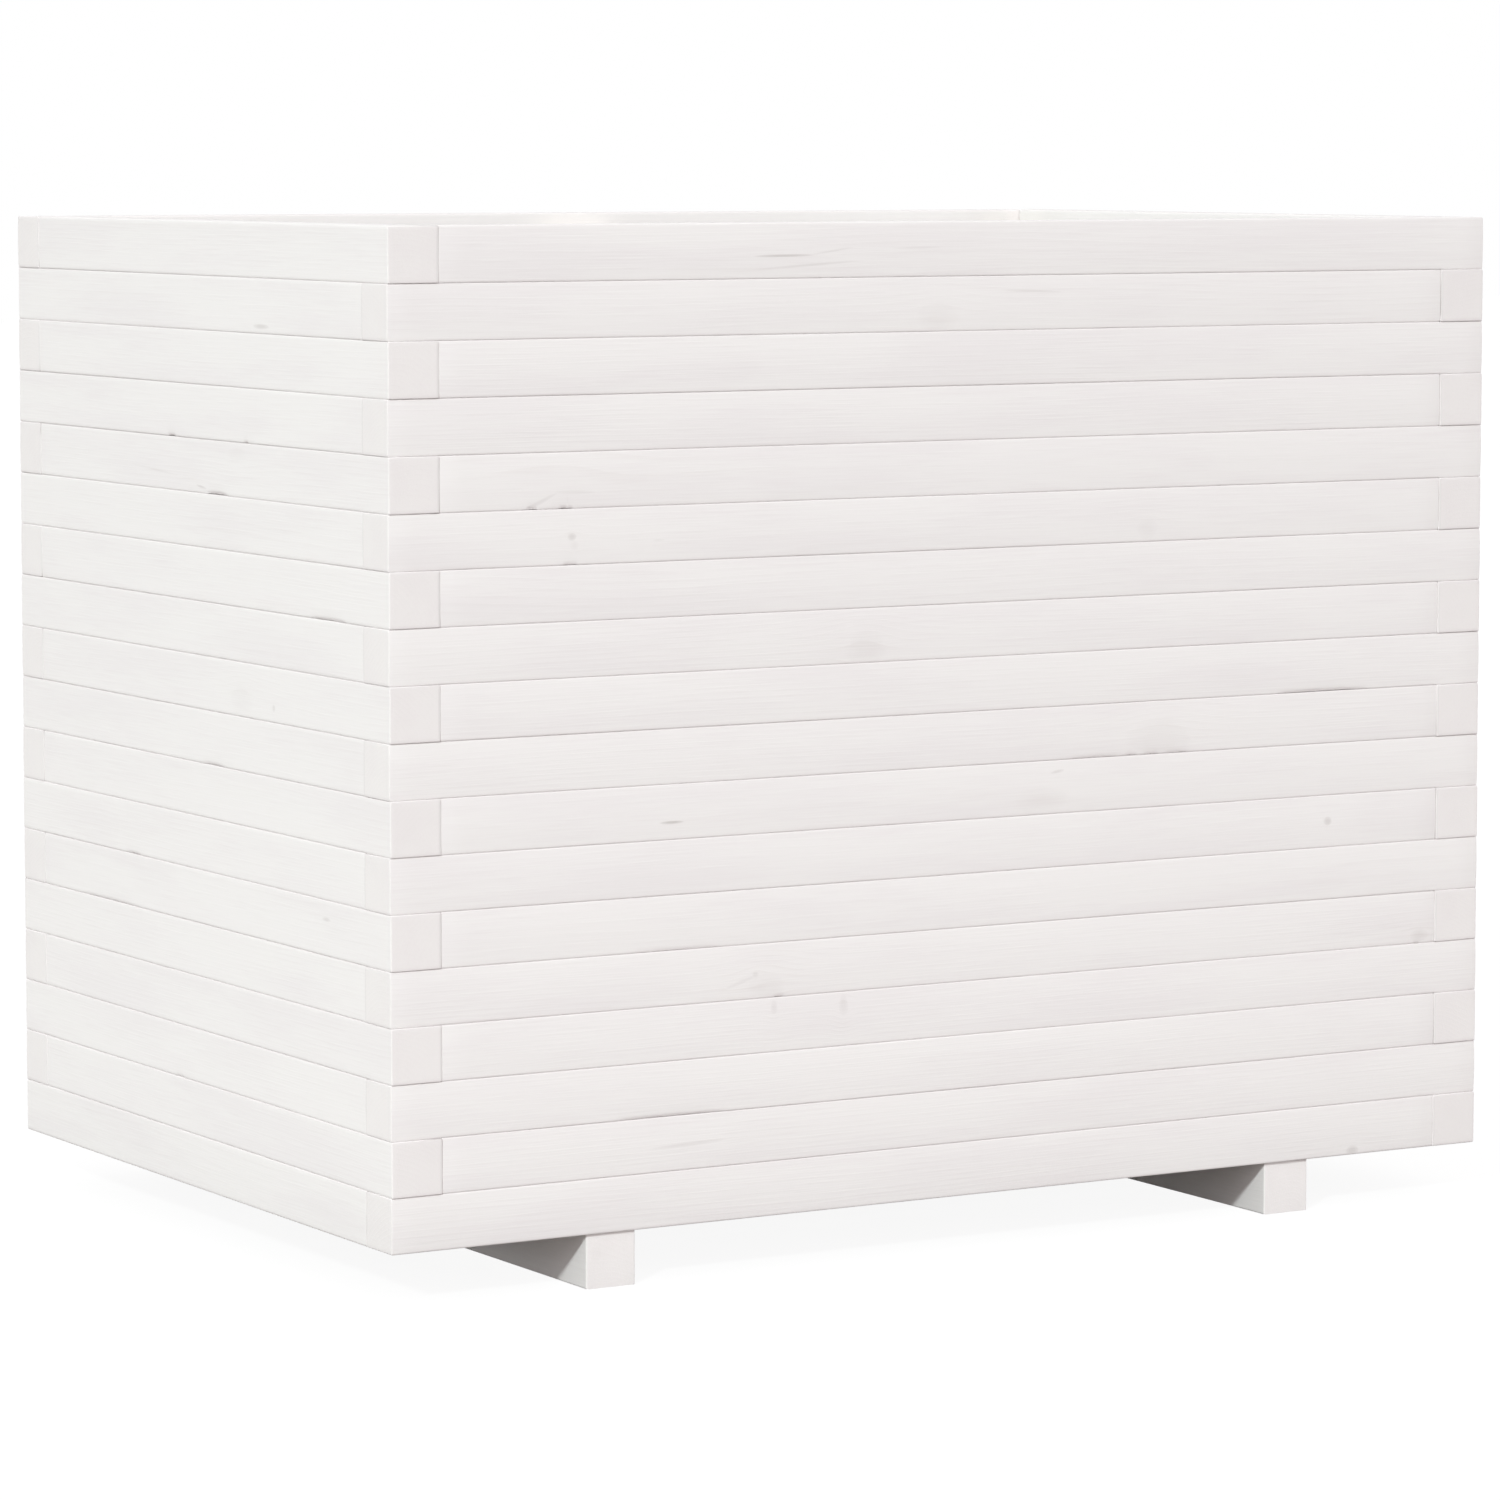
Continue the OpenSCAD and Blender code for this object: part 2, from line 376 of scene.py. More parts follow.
class Finish:
    """Colours of a painted or washed pine, and how much of its grain and knots shows."""

    def __init__(self, paint, paint_low, wood, late, knot, grain_shown, knot_shown):
        self.paint, self.paint_low = linear(*paint), linear(*paint_low)
        self.wood, self.late, self.knot = linear(*wood), linear(*late), linear(*knot)
        self.grain_shown, self.knot_shown = grain_shown, knot_shown


PAINT = Finish(paint=(241, 240, 238), paint_low=(238, 236, 235), wood=(226, 219, 213),
               late=(198, 188, 182), knot=(136, 124, 118), grain_shown=0.05, knot_shown=0.12)
# The feet's paint is a lighter copy of the walls': painted light that makes up for the dimmer light down
# by the floor
FOOT_PAINT_LIT = Finish(paint=(247, 245, 243), paint_low=(244, 242, 240), wood=(232, 226, 220),
                    late=(210, 200, 193), knot=(140, 126, 118), grain_shown=0.03, knot_shown=0.03)
WASH = Finish(paint=(233, 228, 220), paint_low=(226, 216, 202), wood=(206, 184, 156),
              late=(176, 142, 106), knot=(120, 82, 52), grain_shown=0.4, knot_shown=0.5)
# Greyer paint of the inner faces: painted shade inside the box, greyest in its inner corners
INSIDE_SHADE_PAINT = linear(223, 223, 221)
# Greys of the seams, and of deep joints and breaks: dirt, and painted shade in their grooves
SEAM_DIRT_AND_SHADE = linear(234, 231, 230)
SEAM_DEEP = linear(160, 154, 151)
END_GRAIN = linear(236, 233, 231)
STEEL_LIGHT = linear(196, 194, 188)
STEEL_DARK = linear(168, 166, 160)


class KnotShade:
    """What a knot does at a point: its dark core, the grain that it shows and how it bends the rings."""

    def __init__(self, t, away, rise, wobble, core, grain):
        """away is the distance from the knot's middle in radii, rise the height over its middle.

        wobble makes its outline ragged, core is how dark it is, and grain how much grain it shows.
        """
        squared = t.math("MULTIPLY", away, away)
        near = t.math("DIVIDE", 1.0, t.math("MULTIPLY_ADD", squared, KNOT_FALLOFF, 1.0))
        ragged = t.math("MULTIPLY", away, wobble)
        bark = t.ramp(t.math("ABSOLUTE", t.math("SUBTRACT", ragged, 1.0)), BARK_WIDTH, 0.0)
        dark = t.math("MULTIPLY_ADD", bark, KNOT_BARK, t.ramp(ragged, *KNOT_CORE))
        self.core = t.math("MULTIPLY", dark, core)
        self.grain = t.math("MULTIPLY", near, grain)
        self.bend = t.math("MULTIPLY", t.math("MULTIPLY", near, rise), -KNOT_BEND)


def marked_knot(t, at, name, wobble):
    """A knot or hairline that the mesh gives in two attributes, the same all over one stick.

    The first holds its place along and up, its radius and how far it is stretched along the
    grain, and the second how dark it is, how much grain shows round it, and its slope.
    """
    x, _, z = t.split(at)
    knot_x, knot_z, radius = t.split(t.attribute(name))
    core, grain, slope = t.split(t.attribute(name + "_look"))
    along = t.math("SUBTRACT", x, knot_x)
    rise = t.math("SUBTRACT", t.math("SUBTRACT", z, knot_z), t.math("MULTIPLY", along, slope))
    away = t.vector("LENGTH", t.join(t.math("DIVIDE", along, t.attribute(name, "Alpha")), rise, 0.0))
    return KnotShade(t, t.math("DIVIDE", away, radius), rise, wobble, core, grain)


def scattered_knot(t, at, finish, wobble):
    """Knots strewn through a stick, some to the metre."""
    place = t.vector("MULTIPLY", at, KNOT_CELLS)
    spots = t.add("ShaderNodeTexVoronoi", {"Vector": place, "Scale": 1.0}).outputs
    over = t.split(t.vector("SUBTRACT", place, spots["Position"]))[2]
    rise = t.math("DIVIDE", over, KNOT_CELLS[2])
    away = t.math("DIVIDE", spots["Distance"], KNOT_IN_CELL)
    grain = min(SCATTERED_GRAIN, 2 * finish.grain_shown)
    return KnotShade(t, away, rise, wobble, finish.knot_shown, grain)


def inner_corner_shade(t):
    """Painted shade in the upright inner corners of the box: 1 in them, falling to 0 at CORNER_REACH
    along either wall.

    The box stands with its middle at the origin, so the sizes of x and y do for all four.
    """
    x, y, _ = t.split(t.object_place())
    from_x = t.math("SUBTRACT", BOX_LEN / 2 - WALL_T, t.math("ABSOLUTE", x))
    from_y = t.math("SUBTRACT", BOX_DEPTH / 2 - WALL_T, t.math("ABSOLUTE", y))
    return t.ramp(t.math("MAXIMUM", from_x, from_y), CORNER_REACH, 0.0)


def pine(name, finish, at, pith, knot_makers, seams):
    """Pine under paint or wash.

    at is the place in the stick, x along the grain, and pith the rings' centre line beside it,
    both made by a function of the tree. Each of knot_makers adds a knot, or knots, to it. seams
    adds what a wall's rails have: greyer inner faces, which are painted shade, end grain, and dirt
    with painted shade at their edges.
    """
    t = Tree(bpy.data.materials.new(name))
    at, pith = at(t), pith(t)
    sway_x, sway_y, sway_z = t.split(t.noise(at, SWAY_WAVES, 1.0, "Color"))
    patch = t.noise(at, PATCH_WAVES, 2.0)
    fibre = t.noise(at, FIBRE_WAVES, 2.0)
    breaks = t.noise(at, BREAK_WAVES, 1.0)

    # Growth rings round the pith, bent by slow noise and by the knots
    finely = t.math("MULTIPLY_ADD", breaks, RAGGED_BREAK, RAGGED_LEAST)
    wobble = t.math("MULTIPLY_ADD", patch, RAGGED_PATCH, finely)
    _, y, z = t.split(t.vector("SUBTRACT", at, pith))
    y = t.math("MULTIPLY_ADD", sway_y, RING_SWAY, y)
    z = t.math("MULTIPLY_ADD", sway_z, RING_SWAY, z)
    core, grain = 0.0, 0.0
    for maker in knot_makers:
        knot = maker(t, at, wobble)
        z = t.math("ADD", z, knot.bend)
        core = t.math("MAXIMUM", core, knot.core)
        grain = t.math("MAXIMUM", grain, knot.grain)
    from_pith = t.vector("LENGTH", t.join(0.0, y, z))
    saw = t.math("FRACT", t.math("DIVIDE", from_pith, RING_STEP))
    late = t.math("MULTIPLY", t.ramp(saw, LATE_START, LATE_PEAK), t.ramp(saw, 1.0, LATE_PEAK))

    # Paint lies thicker and thinner in long patches, and the grain shows through the thin ones
    unevenness = t.math("MULTIPLY_ADD", patch, THIN_PATCH, t.math("MULTIPLY", fibre, THIN_FIBRE))
    thin = t.ramp(unevenness, *THIN_SHOWS)
    streaks = t.ramp(sway_x, *STREAK_SHOWS)
    streaky = t.math("MULTIPLY", streaks, t.math("MULTIPLY_ADD", thin, *STREAK_THIN))
    broken = t.math("MULTIPLY", grain, t.ramp(breaks, *BREAK_SHOWS))
    near_knot = t.math("MULTIPLY", broken, KNOT_GRAIN)
    shown = t.math("MULTIPLY_ADD", streaky, finish.grain_shown, near_knot)
    fibres = t.math("MULTIPLY", t.ramp(fibre, *FIBRE_SHOWS), finish.grain_shown)
    color = t.mix(thin, finish.paint, finish.paint_low)
    color = t.mix(t.math("MULTIPLY", late, shown), color, finish.late)
    color = t.mix(fibres, color, finish.wood)
    color = t.mix(t.math("MULTIPLY", grain, KNOT_TINT), color, finish.wood)
    color = t.mix(core, color, finish.knot)
    if seams:
        marked = t.attribute("edge", "Fac")
        edge = t.math("MULTIPLY", marked, t.math("MULTIPLY_ADD", patch, *DIRT_AND_SHADE_PATCHES))
        # Inner faces greyed, most in the inner corners: painted shade
        inside = t.ramp(t.split(at)[1], *INNER_FADE)
        inner_shade = t.math("MULTIPLY_ADD", inner_corner_shade(t), INNER_CORNER_SHADE, INSIDE_SHADE)
        color = t.mix(t.math("MULTIPLY", inside, inner_shade), color, INSIDE_SHADE_PAINT)
        end_grain = t.math("MULTIPLY", t.attribute("end", "Fac"), END_GRAIN_SHARE)
        color = t.mix(end_grain, color, END_GRAIN)
        # Dirt with painted shade darkens the seams, joints, breaks and the rim's arris
        color = t.mix(t.ramp(edge, 0.0, DIRT_AND_SHADE_FULL), color, SEAM_DIRT_AND_SHADE)
        color = t.mix(t.ramp(edge, DIRT_AND_SHADE_FULL, DEEP_FULL), color, SEAM_DEEP)

    height = t.math("MULTIPLY_ADD", late, LATE_RELIEF, t.math("MULTIPLY", fibre, FIBRE_RELIEF))
    height = t.math("MULTIPLY_ADD", patch, PATCH_RELIEF, height)
    height = t.math("MULTIPLY_ADD", core, KNOT_RELIEF, height)
    bump = t.add("ShaderNodeBump", {"Height": height, "Strength": 1.0, "Distance": 1.0 * MM})
    rough = t.math("MULTIPLY_ADD", fibre, ROUGH_SPREAD, ROUGH)
    shader = t.add("ShaderNodeBsdfPrincipled", {"Base Color": color, "Roughness": rough,
                                                "Normal": bump.outputs[0]})
    shader.inputs["Specular IOR Level"].default_value = SPECULAR
    return t.finish(shader.outputs[0])


def painted_rail_material():
    """Painted pine of the walls, whose meshes give the place in each rail, its pith and its knots."""
    makers = [lambda t, at, wobble, name=name: marked_knot(t, at, name, wobble) for name in KNOT_NAMES]
    return pine("painted_rail", PAINT, lambda t: t.attribute("grain_at"), lambda t: t.attribute("pith"),
                makers, True)


def stick_material(name, along, finish, rng):
    """Material of a timber of the frame whose grain runs along one of the frame's axes."""
    shift = rng.uniform(*GRAIN_SHIFT)
    lo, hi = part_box(name)
    grain_axis = "xyz".index(along)
    order = [grain_axis] + [i for i in range(3) if i != grain_axis]
    middle_y, middle_z = [(lo[i] + hi[i]) / 2 for i in order[1:]]
    pith_y = middle_y + rng.uniform(*STICK_PITH_ASIDE_MM) * MM
    pith_z = middle_z - rng.uniform(*STICK_PITH_BELOW_MM) * MM
    pith = (0.0, pith_y, pith_z)

    def place(t):
        parts = t.split(t.object_place())
        return t.vector("ADD", t.join(*(parts[i] for i in order)), (shift, 0.0, 0.0))

    makers = [lambda t, at, wobble: scattered_knot(t, at, finish, wobble)]
    return pine(name + "_wood", finish, place, lambda t: pith, makers, False)


def steel_material():
    """Satin stainless steel with fine turning marks."""
    t = Tree(bpy.data.materials.new("screw_steel"))
    at = t.object_place()
    marks = t.noise(at, TURNING_WAVES, 2.0)
    cloud = t.noise(at, CLOUD_WAVES, 2.0)
    color = t.mix(t.ramp(cloud, *CLOUD_SHOWS), STEEL_LIGHT, STEEL_DARK)
    rough = t.math("MULTIPLY_ADD", marks, ROUGH_SPREAD, STEEL_ROUGH)
    bump = t.add("ShaderNodeBump", {"Height": marks, "Strength": TURNING_STRENGTH,
                                    "Distance": TURNING_DEPTH})
    shader = t.add("ShaderNodeBsdfPrincipled", {"Base Color": color, "Roughness": rough,
                                                "Normal": bump.outputs[0]})
    shader.inputs["Metallic"].default_value = 1.0
    return t.finish(shader.outputs[0])


def rail_section(width, height, crown):
    """Points round a rail's section as (y, z, edge) about its middle, with the y faces crowned.

    edge is how much dirt, worn paint and painted shade a point has, from 0 on the face to 1 in the seam.
    """
    half_w, half_h = width / 2, height / 2
    flat_h = half_h - ARRIS_HIGH
    arris_w = half_w - crown * (flat_h / half_h) ** 2
    turns = [math.pi / 2 * step / ARRIS_STEPS for step in range(1, ARRIS_STEPS)]
    arris = [(arris_w - ARRIS_DEEP * (1 - math.cos(turn)), flat_h + ARRIS_HIGH * math.sin(turn),
              math.sin(turn)) for turn in turns]
    points = []
    for side in (1, -1):
        # Dirt and painted shade lie wider on the upper arrises than on the lower ones
        spread = UPPER_SPREAD if side > 0 else 1.0
        for place in (-1.0, *FACE_PLACES, 1.0):
            z = place * flat_h
            points.append((side * (half_w - crown * (z / half_h) ** 2), side * z, 0.0))
        points += [(side * y, side * z, edge ** spread) for y, z, edge in arris]
        points += [(side * place * (arris_w - ARRIS_DEEP), side * half_h, 1.0) for place in (1, 0, -1)]
        points += [(-side * y, side * z, edge ** spread) for y, z, edge in reversed(arris)]
    return points


def rail_stations(length, chips):
    """Places along a rail from its middle, as (x, inset, turned, lip, end).

    inset is how far the section is drawn in there, turned is 1 in the middle of the rounding
    round an end face, lip stays 1 up to where the rounding meets the long faces, and end is 1
    on the end faces.
    """
    half = length / 2
    stations = []
    for step in range(ARRIS_STEPS + 1):
        turn = math.pi / 2 * step / ARRIS_STEPS
        x = half - END_R * (1 - math.cos(turn))
        turned = math.sin(2 * turn)
        lip = 1.0 if turn > math.pi / 4 else turned
        for side in (-1, 1):
            stations.append((side * x, END_R * (1 - math.sin(turn)), turned, lip, math.cos(turn)))
    inner = half - PLAIN_FROM_END
    count = round(2 * inner / STATION_STEP)
    spots = {round(-inner + 2 * inner * i / count, 6) for i in range(count + 1)}
    for at, long, _ in chips:
        # Closer stations, from one end of the splinter to the other
        steps = range(-CHIP_HALF_STEPS, CHIP_HALF_STEPS + 1)
        spots |= {round(at + long * i / (2 * CHIP_HALF_STEPS), 6) for i in steps}
    stations += [(x, 0.0, 0.0, 0.0, 0.0) for x in spots if abs(x) <= inner]
    stations.sort()
    return [(-half, CAP_INSET, 0.0, 0.0, 1.0)] + stations + [(half, CAP_INSET, 0.0, 0.0, 1.0)]


def slow_wave(rng, amount):
    """A slow random bend along a rail, as a function of the place in metres."""
    waves = [(rng.uniform(*BOW_RATE), rng.uniform(0, 2 * math.pi), rng.uniform(*BOW_WEIGHT))
             for _ in range(BOW_WAVES)]
    return lambda x: amount / 2 * sum(a * math.sin(f * x + p) for f, p, a in waves)


class Stick:
    """One rail in its own place: x along, y outwards from the wall's face, z up, about its middle."""

    def __init__(self, rng, length, crown, chips, course):
        self.length, self.crown, self.chips = length, crown, chips
        self.is_rim = course == 1
        self.free_end = -1 if course % 2 == 1 else 1
        self.shift = rng.uniform(*GRAIN_SHIFT)
        self.pith = (rng.choice((-1, 1)) * rng.uniform(*RAIL_PITH_ASIDE_MM) * MM,
                     -rng.uniform(*RAIL_PITH_BELOW_MM) * MM)
        self.bend = slow_wave(rng, BOW)
        self.rise = slow_wave(rng, BOW * RISE_SHARE)
        self.set_in = rng.uniform(*SET_IN_MM) * MM
        self.nick = random.Random(rng.random())

    def mesh(self):
        """Vertices, faces, and each vertex's edge and end values."""
        section = rail_section(WALL_T, COURSE_H - SEAM_GAP, self.crown)
        stations = rail_stations(self.length, self.chips)
        ring = len(section)
        verts, edges, ends = [], [], []
        for x, inset, turned, lip, end in stations:
            shrink_y = 1 - inset / (WALL_T / 2)
            shrink_z = 1 - inset / (COURSE_H / 2)
            uneven_dirt_and_shade = self.nick.uniform(*UNEVEN_DIRT_AND_SHADE)
            for y, z, edge in section:
                # The rim's top arris gets a smaller share of the dirt and painted shade
                if self.is_rim and z > 0:
                    edge *= RIM_DIRT_AND_SHADE
                dirt_and_shade_here = turned if y > INNER_Y else lip
                turned_edge = dirt_and_shade_here * max(edge, self.end_dirt_and_shade(x, y))
                y, z, gone = self.chipped(x, y * shrink_y, z * shrink_z)
                y += self.bend(x) - self.set_in
                z += self.rise(x) * (1 - SEAM_RISE_LOST * abs(z) / (COURSE_H / 2))
                verts.append((x, y, z))
                edges.append(0.0 if inset == CAP_INSET else max(edge * uneven_dirt_and_shade, turned_edge) + gone)
                ends.append(end)
        faces = [tuple(reversed(range(ring)))]
        for i in range(len(stations) - 1):
            for j in range(ring):
                k = (j + 1) % ring
                faces.append((i * ring + j, i * ring + k, (i + 1) * ring + k, (i + 1) * ring + j))
        last = (len(stations) - 1) * ring
        faces.append(tuple(range(last, last + ring)))
        return verts, faces, edges, ends

    def end_dirt_and_shade(self, x, y):
        """Dirt and painted shade on the rounding round an end face: little at the box's own corner, most
        in a joint.
        """
        at_corner = x * self.free_end > 0 and y > INNER_Y
        return CORNER_DIRT_AND_SHADE if at_corner else JOINT_DIRT_AND_SHADE

    def chipped(self, x, y, z):
        """Draws a point near the outer lower edge in where a splinter is gone.

        Gives its new y and z, and how much dirt and painted shade the break adds there.
        """
        gone = 0.0
        for at, long, deep in self.chips:
            along = 1 - ((x - at) / (long / 2)) ** 2
            away = math.hypot(y - WALL_T / 2, z + COURSE_H / 2)
            if along > 0 and away < CHIP_REACH:
                pull = deep * along ** 0.5 * (1 - away / CHIP_REACH) * self.nick.uniform(*CHIP_UNEVEN)
                y, z = y - pull, z + pull * CHIP_LIFT
                gone = max(gone, CHIP_DIRT_AND_SHADE * min(1.0, deep / MM) * along ** 0.5)
        return y, z, gone


def place_of(wall, course):
    """Turns a stick's own axes into the frame's, for one wall and course."""
    lap = (1 if course % 2 == 1 else -1) * WALL_T / 2
    z = cad_hi[2] - (course - 0.5) * COURSE_H
    middle_x = (cad_lo[0] + cad_hi[0]) / 2
    middle_y = (cad_lo[1] + cad_hi[1]) / 2
    out_x, out_y = (BOX_LEN - WALL_T) / 2, (BOX_DEPTH - WALL_T) / 2
    # For each wall, the stick's x, its outward y, and its middle
    spots = {
        "front": ((-1, 0), (0, -1), (middle_x + lap, middle_y - out_y)),
        "back": ((1, 0), (0, 1), (middle_x - lap, middle_y + out_y)),
        "left": ((0, 1), (-1, 0), (middle_x - out_x, middle_y - lap)),
        "right": ((0, -1), (1, 0), (middle_x + out_x, middle_y + lap)),
    }
    along, outward, at = spots[wall]
    return Matrix(((along[0], outward[0], 0, at[0]),
                   (along[1], outward[1], 0, at[1]),
                   (0, 0, 1, z), (0, 0, 0, 1)))


def marks_seen(wall, course, turn):
    """Knots and splinters that the photograph shows on this rail, in the rail's own place."""
    all_knots, all_chips = (FRONT_KNOTS, FRONT_CHIPS) if wall == "front" else (LEFT_KNOTS, LEFT_CHIPS)
    back = turn.inverted()

    def local(far, up):
        x, y = (far * MM, 0) if wall == "front" else (0, far * MM)
        return back @ Vector((cad_lo[0] + x, cad_lo[1] + y, cad_hi[2] - course * COURSE_H + up * MM))

    # A slope along the wall is turned round where the rail's own x runs the other way
    way = -1 if wall == "front" else 1
    knots = [(local(far, up), radius * MM, stretch, dark, grain, way * slope)
             for row, far, up, radius, stretch, dark, grain, slope in all_knots if row == course]
    chips = [(local(far, 0).x, long * MM, deep * MM) for row, far, long, deep in all_chips
             if row == course]
    return knots, chips


def marks_made_up(rng, length):
    """Knots, hairlines and splinters, made up, of a rail that the photograph doesn't show."""
    knots, chips = [], []

    def somewhere():
        return Vector((rng.uniform(*MADE_UP_ALONG) * length, 0, rng.uniform(*MADE_UP_HIGH_MM) * MM))

    for _ in range(rng.choice(KNOTS_ON_RAIL)):
        radius = rng.uniform(*KNOT_RADIUS_MM)
        # A wide knot is paler under the paint
        knots.append((somewhere(), radius * MM, rng.uniform(*KNOT_STRETCH),
                      rng.uniform(*KNOT_DARK) / (radius + 1), rng.uniform(*KNOT_GRAIN_ROUND), 0.0))
    for _ in range(rng.choice(LINES_ON_RAIL)):
        knots.append((somewhere(), rng.uniform(*LINE_RADIUS_MM) * MM, rng.uniform(*LINE_STRETCH),
                      rng.uniform(*LINE_DARK), LINE_GRAIN_ROUND, rng.uniform(*LINE_SLOPE)))
    for _ in range(rng.choice(CHIPS_ON_RAIL)):
        chips.append((rng.uniform(*MADE_UP_ALONG) * length, rng.uniform(*CHIP_LENGTH_MM) * MM,
                      rng.uniform(*CHIP_DEPTH_MM) * MM))
    return knots, chips


# Stands in for a missing knot: far off, and without any colour or grain
NO_KNOT = (Vector((0, 0, 9)), 1 * MM, 1.0, 0.0, 0.0, 0.0)
ATTRIBUTES = {"grain_at": "FLOAT_VECTOR", "pith": "FLOAT_VECTOR", "edge": "FLOAT", "end": "FLOAT"}
ATTRIBUTES.update({name: "FLOAT_COLOR" for name in KNOT_NAMES})
ATTRIBUTES.update({name + "_look": "FLOAT_VECTOR" for name in KNOT_NAMES})
VALUE_FIELDS = {"FLOAT_VECTOR": "vector", "FLOAT_COLOR": "color", "FLOAT": "value"}


def build_rails(walls, name, node, course, rng, material):
    """Both rails of one course on two facing walls, as one piece that stands for their CAD node."""
    verts, faces = [], []
    columns = {key: [] for key in ATTRIBUTES}
    for wall in walls:
        is_long = wall in ("front", "back")
        length = (BOX_LEN if is_long else BOX_DEPTH) - WALL_T
        turn = place_of(wall, course)
        shown = wall in ("front", "left")
        knots, chips = marks_seen(wall, course, turn) if shown else marks_made_up(rng, length)
        stick = Stick(rng, length, LONG_CROWN if is_long else SHORT_CROWN, chips, course)
        own, own_faces, edges, ends = stick.mesh()
        first, count = len(verts), len(own)
        verts.extend(turn @ Vector(v) for v in own)
        faces.extend(tuple(first + i for i in face) for face in own_faces)
        columns["grain_at"] += [(x + stick.shift, y, z) for x, y, z in own]
        columns["pith"] += [(0.0, *stick.pith)] * count
        columns["edge"] += edges
        columns["end"] += ends
        for key, knot in zip(KNOT_NAMES, knots + [NO_KNOT] * (len(KNOT_NAMES) - len(knots))):
            spot, radius, stretch, dark, grain, slope = knot
            columns[key] += [(spot.x + stick.shift, spot.z, radius, stretch)] * count
            columns[key + "_look"] += [(dark, grain, slope)] * count
    mesh = bpy.data.meshes.new(name)
    mesh.from_pydata([tuple(v) for v in verts], [], faces)
    for key, kind in ATTRIBUTES.items():
        layer = mesh.attributes.new(key, kind, "POINT")
        layer.data.foreach_set(VALUE_FIELDS[kind], np.array(columns[key], dtype=np.float32).ravel())
    mesh.polygons.foreach_set("use_smooth", [len(p.vertices) == 4 for p in mesh.polygons])
    mesh.materials.append(material)
    rails = bpy.data.objects.new(name, mesh)
    bpy.context.scene.collection.objects.link(rails)
    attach(rails, BODY)
    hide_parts(node)


def dress_walls():
    """All rails of the walls, a course at a time from the top."""
    material = painted_rail_material()
    rng = random.Random(SEED)
    for course in range(1, COURSES + 1):
        for walls, kind in ((("front", "back"), "long"), (("left", "right"), "short")):
            label = f"course_{course:02d}_{kind}"
            build_rails(walls, label + "_timbers", label + "_rails", course, rng, material)


def dress_frame_nodes():
    """Materials of the CAD pieces whose shape is already right."""
    rng = random.Random(SEED + 1)
    steel = steel_material()
    for name, node in sorted(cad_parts.items()):
        if name.endswith("_rails"):
            continue
        if name.endswith("_screws"):
            material = steel
        elif name.endswith("_foot"):
            # The feet get the lighter copy of the paint, as painted light
            material = stick_material(name, "y", FOOT_PAINT_LIT, rng)
        elif name.startswith("floor_board"):
            material = stick_material(name, "x", WASH, rng)
        else:
            material = stick_material(name, "z", WASH, rng)
        node.data.materials.clear()
        node.data.materials.append(material)


def build_camera():
    """The camera at the photograph's place and angle."""
    data = bpy.data.cameras.new("camera")
    data.sensor_width = SENSOR
    data.lens = CAMERA_FOCAL_PX / PHOTO_SIDE * SENSOR
    data.shift_y = CAMERA_SHIFT_Y
    data.clip_end = CAMERA_FAR
    camera = bpy.data.objects.new("camera", data)
    camera.location = CAMERA_AT
    camera.rotation_euler = (math.radians(90 - CAMERA_PITCH), 0, math.radians(-CAMERA_YAW))
    bpy.context.scene.collection.objects.link(camera)
    bpy.context.scene.camera = camera


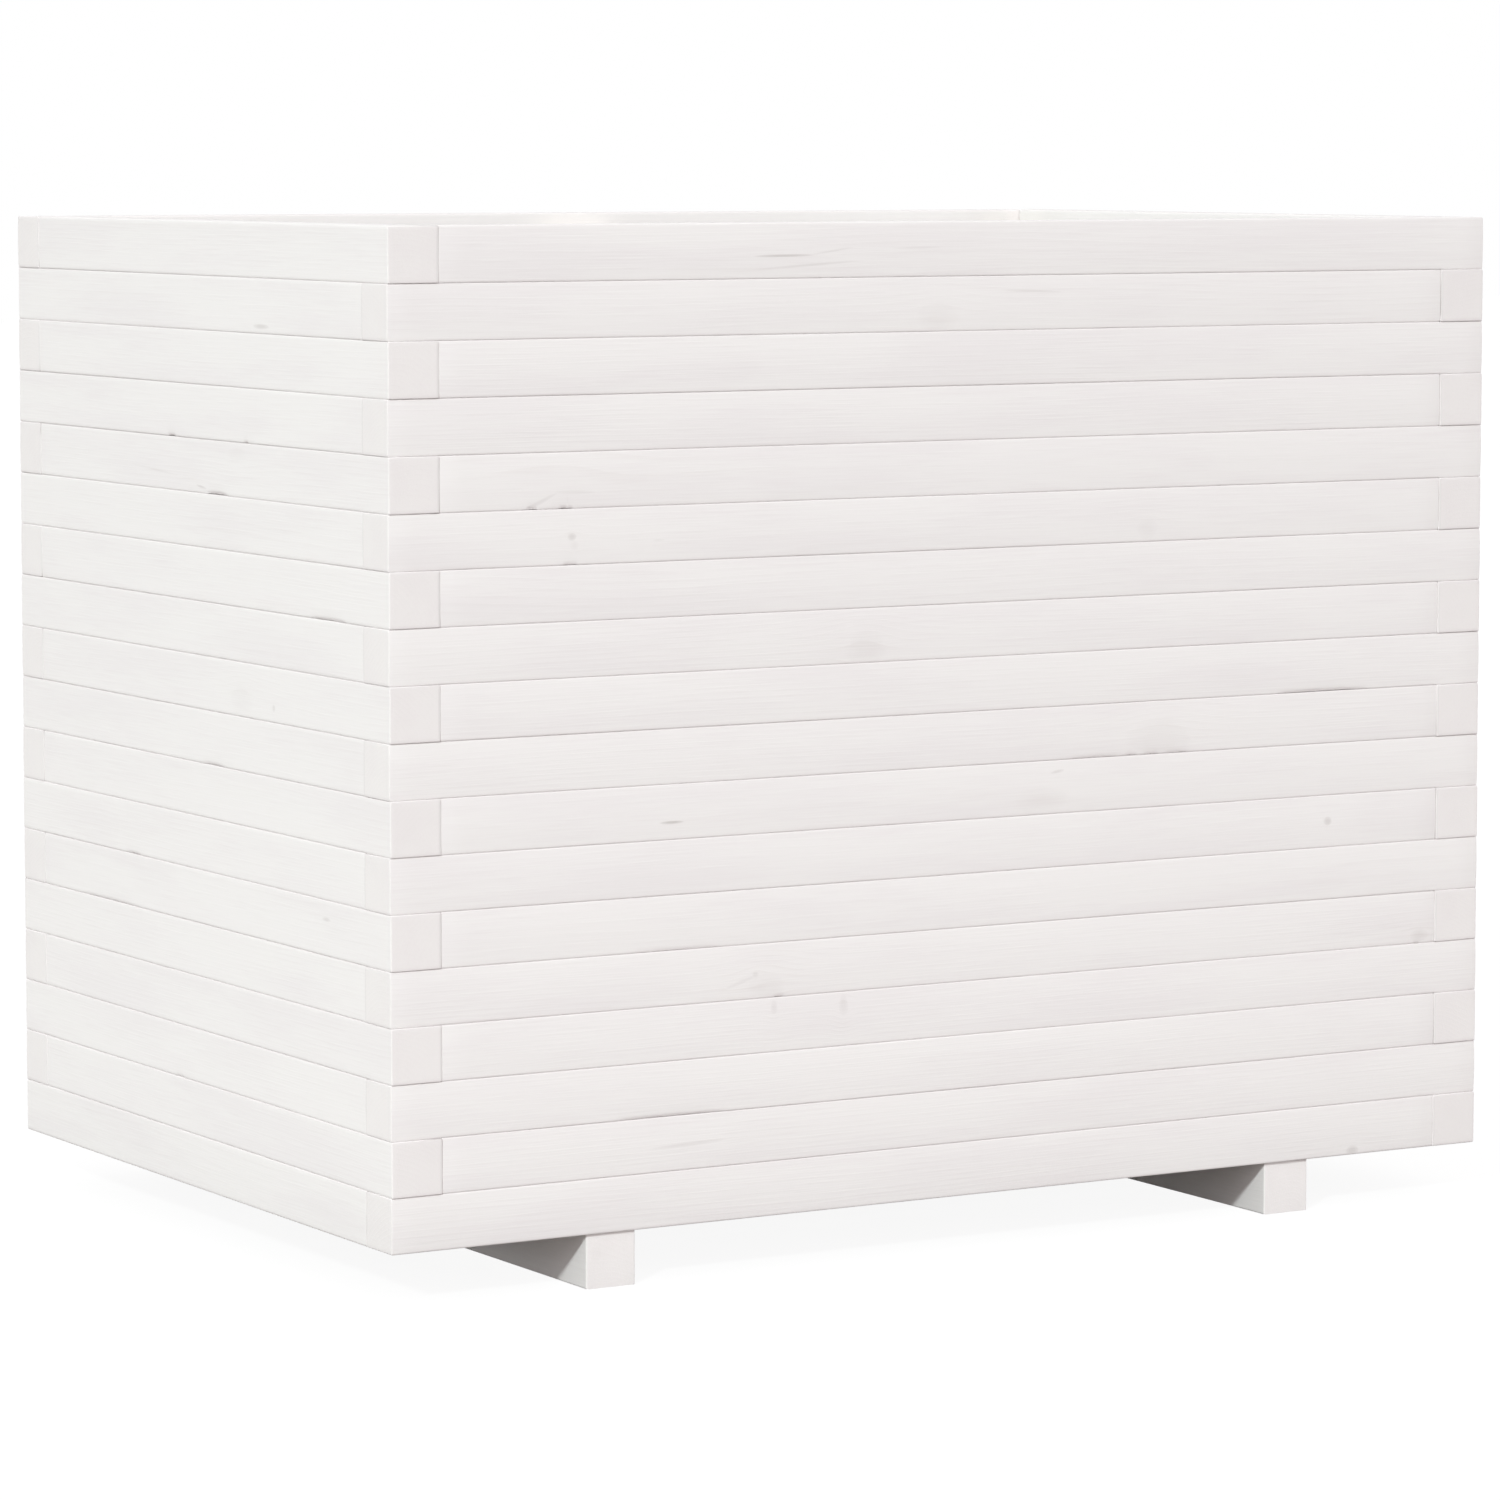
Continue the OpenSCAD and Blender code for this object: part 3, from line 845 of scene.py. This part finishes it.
def build_surround():
    """A surround that looks white, and lights the object from low down more than from above."""
    world = bpy.data.worlds.new("studio")
    bpy.context.scene.world = world
    t = Tree(world)
    _, back, up = t.split(t.add("ShaderNodeTexCoord").outputs["Generated"])
    level = t.add("ShaderNodeMapRange", {"Value": up, "To Min": SURROUND_LOW, "To Max": SURROUND_HIGH})
    dip = t.add("ShaderNodeMapRange", {"Value": up, "From Max": HORIZON_TOP, "To Min": HORIZON_DIP})
    color = t.mix(t.ramp(back, -1.0, 0.0), SURROUND_FRONT, SURROUND_BACK)
    strength = t.math("MULTIPLY", level.outputs[0], dip.outputs[0])
    lit = t.add("ShaderNodeBackground", {"Color": color, "Strength": strength})
    white = t.add("ShaderNodeBackground", {"Color": WHITE, "Strength": 1.0})
    both = t.add("ShaderNodeMixShader", {0: t.seen_directly(), 1: lit.outputs[0], 2: white.outputs[0]})
    t.finish(both.outputs[0])


def build_floor():
    """A floor that looks white and keeps a pale shadow, and throws little light back up.

    A strip before the front and left walls throws more, as a pale card laid there would.
    """
    t = Tree(bpy.data.materials.new("floor_white"))
    plain = t.add("ShaderNodeEmission", {"Color": WHITE, "Strength": FLOOR_GLOW}).outputs[0]
    shaded = t.add("ShaderNodeBsdfDiffuse", {"Color": FLOOR_SHADED}).outputs[0]
    seen = t.add("ShaderNodeAddShader", {0: plain, 1: shaded}).outputs[0]
    x, y, _ = t.split(t.object_place())
    away = t.math("MAXIMUM", t.math("SUBTRACT", cad_lo[0], x), t.math("SUBTRACT", cad_lo[1], y))
    card = t.math("MULTIPLY", t.ramp(away, *CARD_START), t.ramp(away, *CARD_END))
    lit = t.add("ShaderNodeBsdfDiffuse", {"Color": t.mix(card, FLOOR_COLOR, CARD_COLOR)}).outputs[0]
    both = t.add("ShaderNodeMixShader", {0: t.seen_directly(), 1: lit, 2: seen}).outputs[0]
    material = t.finish(both)
    bpy.ops.mesh.primitive_plane_add(size=FLOOR_SIZE, location=(0, 0, cad_lo[2] - FLOOR_DROP))
    floor = bpy.context.object
    floor.name = "floor"
    floor.data.materials.append(material)


def build_key():
    """One soft lamp that shines from the left, the front and above."""
    data = bpy.data.lights.new("key", "AREA")
    data.shape = "DISK"
    data.size = KEY_SIZE
    data.energy = KEY_POWER
    data.color = KEY_COLOR
    lamp = bpy.data.objects.new("key", data)
    near_edge = Vector((cad_lo[0], cad_lo[1], cad_hi[2] / 2))
    lamp.location = near_edge + KEY_TOWARD * KEY_DISTANCE
    lamp.rotation_euler = KEY_TOWARD.to_track_quat("Z", "Y").to_euler()
    bpy.context.scene.collection.objects.link(lamp)


bpy.context.scene.view_settings.view_transform = "Standard"
build_camera()
build_surround()
build_floor()
build_key()
dress_walls()
dress_frame_nodes()
